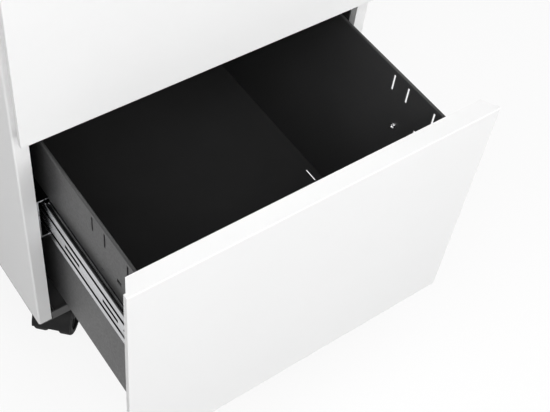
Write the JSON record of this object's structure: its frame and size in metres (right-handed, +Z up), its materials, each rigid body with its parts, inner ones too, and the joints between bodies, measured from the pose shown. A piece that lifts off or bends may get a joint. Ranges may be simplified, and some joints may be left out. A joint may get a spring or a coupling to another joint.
{
  "type": "mobile file cabinet",
  "caption": "Low steel pedestal on twin-wheel casters with handle-less overlay fronts, an upper drawer and a hanging-file drawer on ball bearing slides, file drawer pulled out",
  "frame": {"origin": "on the floor, under the middle of the box round the cabinet with its file drawer pulled out as stored", "axes": "+X to the cabinet's right as seen from the front, +Y from the fronts to the back, +Z up"},
  "size_m": [0.39, 0.67, 0.6],
  "materials": {
    "white_paint": "smooth satin white powder coat",
    "black_paint": "fine matte black powder coat",
    "zinc_steel": "bright zinc plated cold rolled steel",
    "cage_steel": "plain stamped steel strip",
    "ball_steel": "polished bearing steel",
    "bumper_rubber": "soft black rubber",
    "caster_plastic": "moulded black nylon, fine grain",
    "wheel_plastic": "moulded black nylon with a rolled, scuffed tread",
    "fastener_steel": "zinc plated steel"
  },
  "bodies": {
    "cabinet": {"back_panel": "white_paint", "base_pan": "black_paint", "caster_front_left_stem": "fastener_steel", "caster_front_right_stem": "fastener_steel", "caster_nuts": "fastener_steel", "caster_rear_left_stem": "fastener_steel", "caster_rear_right_stem": "fastener_steel", "file_left_rail": "zinc_steel", "file_right_rail": "zinc_steel", "left_liner": "black_paint", "left_side_panel": "white_paint", "rail_screws": "fastener_steel", "right_liner": "black_paint", "right_side_panel": "white_paint", "top_panel": "white_paint", "upper_left_rail": "zinc_steel", "upper_right_rail": "zinc_steel"},
    "caster_front_left_wheel_pair": {"caster_front_left_axle": "fastener_steel", "caster_front_left_wheels": "wheel_plastic"},
    "caster_front_left_swivel": {"caster_front_left_hood": "caster_plastic"},
    "caster_front_right_wheel_pair": {"caster_front_right_axle": "fastener_steel", "caster_front_right_wheels": "wheel_plastic"},
    "caster_front_right_swivel": {"caster_front_right_hood": "caster_plastic"},
    "caster_rear_left_wheel_pair": {"caster_rear_left_axle": "fastener_steel", "caster_rear_left_wheels": "wheel_plastic"},
    "caster_rear_left_swivel": {"caster_rear_left_hood": "caster_plastic"},
    "caster_rear_right_wheel_pair": {"caster_rear_right_axle": "fastener_steel", "caster_rear_right_wheels": "wheel_plastic"},
    "caster_rear_right_swivel": {"caster_rear_right_hood": "caster_plastic"},
    "file_drawer": {"file_back": "black_paint", "file_bumpers": "bumper_rubber", "file_floor": "black_paint", "file_front": "white_paint", "file_front_backing": "white_paint", "file_front_screws": "fastener_steel", "file_inner_front": "black_paint", "file_left_runner": "zinc_steel", "file_left_side": "black_paint", "file_right_runner": "zinc_steel", "file_right_side": "black_paint", "file_rivets": "fastener_steel"},
    "file_cages": {"file_balls": "ball_steel", "file_left_cage": "cage_steel", "file_right_cage": "cage_steel"},
    "upper_drawer": {"upper_back": "black_paint", "upper_bumpers": "bumper_rubber", "upper_floor": "black_paint", "upper_front": "white_paint", "upper_front_backing": "white_paint", "upper_front_screws": "fastener_steel", "upper_inner_front": "black_paint", "upper_left_runner": "zinc_steel", "upper_left_side": "black_paint", "upper_right_runner": "zinc_steel", "upper_right_side": "black_paint", "upper_rivets": "fastener_steel"},
    "upper_cages": {"upper_balls": "ball_steel", "upper_left_cage": "cage_steel", "upper_right_cage": "cage_steel"}
  },
  "joints": [
    {"name": "file_drawer_slide", "type": "slide", "parent": "cabinet", "child": "file_drawer", "axis": [0, -1, 0], "range_m": [-0.17, 0.165]},
    {"name": "file_cage_slide", "type": "slide", "parent": "cabinet", "child": "file_cages", "axis": [0, -1, 0], "range_m": [-0.085, 0.0825]},
    {"name": "upper_drawer_slide", "type": "slide", "parent": "cabinet", "child": "upper_drawer", "axis": [0, -1, 0], "range_m": [0, 0.335]},
    {"name": "upper_cage_slide", "type": "slide", "parent": "cabinet", "child": "upper_cages", "axis": [0, -1, 0], "range_m": [0, 0.1675]},
    {"name": "caster_front_left_turn", "type": "hinge", "parent": "cabinet", "child": "caster_front_left_swivel", "pos_m": [-0.146, -0.101, 0.05], "axis": [0, 0, 1], "continuous": true},
    {"name": "caster_front_left_roll", "type": "hinge", "parent": "caster_front_left_swivel", "child": "caster_front_left_wheel_pair", "pos_m": [-0.15873, -0.11373, 0.025], "axis": [-0.7071, 0.7071, 0], "continuous": true},
    {"name": "caster_front_right_turn", "type": "hinge", "parent": "cabinet", "child": "caster_front_right_swivel", "pos_m": [0.146, -0.101, 0.05], "axis": [0, 0, 1], "continuous": true},
    {"name": "caster_front_right_roll", "type": "hinge", "parent": "caster_front_right_swivel", "child": "caster_front_right_wheel_pair", "pos_m": [0.13327, -0.11373, 0.025], "axis": [-0.7071, 0.7071, 0], "continuous": true},
    {"name": "caster_rear_left_turn", "type": "hinge", "parent": "cabinet", "child": "caster_rear_left_swivel", "pos_m": [-0.146, 0.29, 0.05], "axis": [0, 0, 1], "continuous": true},
    {"name": "caster_rear_left_roll", "type": "hinge", "parent": "caster_rear_left_swivel", "child": "caster_rear_left_wheel_pair", "pos_m": [-0.15873, 0.27727, 0.025], "axis": [-0.7071, 0.7071, 0], "continuous": true},
    {"name": "caster_rear_right_turn", "type": "hinge", "parent": "cabinet", "child": "caster_rear_right_swivel", "pos_m": [0.146, 0.29, 0.05], "axis": [0, 0, 1], "continuous": true},
    {"name": "caster_rear_right_roll", "type": "hinge", "parent": "caster_rear_right_swivel", "child": "caster_rear_right_wheel_pair", "pos_m": [0.13327, 0.27727, 0.025], "axis": [-0.7071, 0.7071, 0], "continuous": true}
  ],
  "couplings": [
    {"joint": "file_cage_slide", "follows": "file_drawer_slide", "ratio": 0.5},
    {"joint": "upper_cage_slide", "follows": "upper_drawer_slide", "ratio": 0.5}
  ]
}
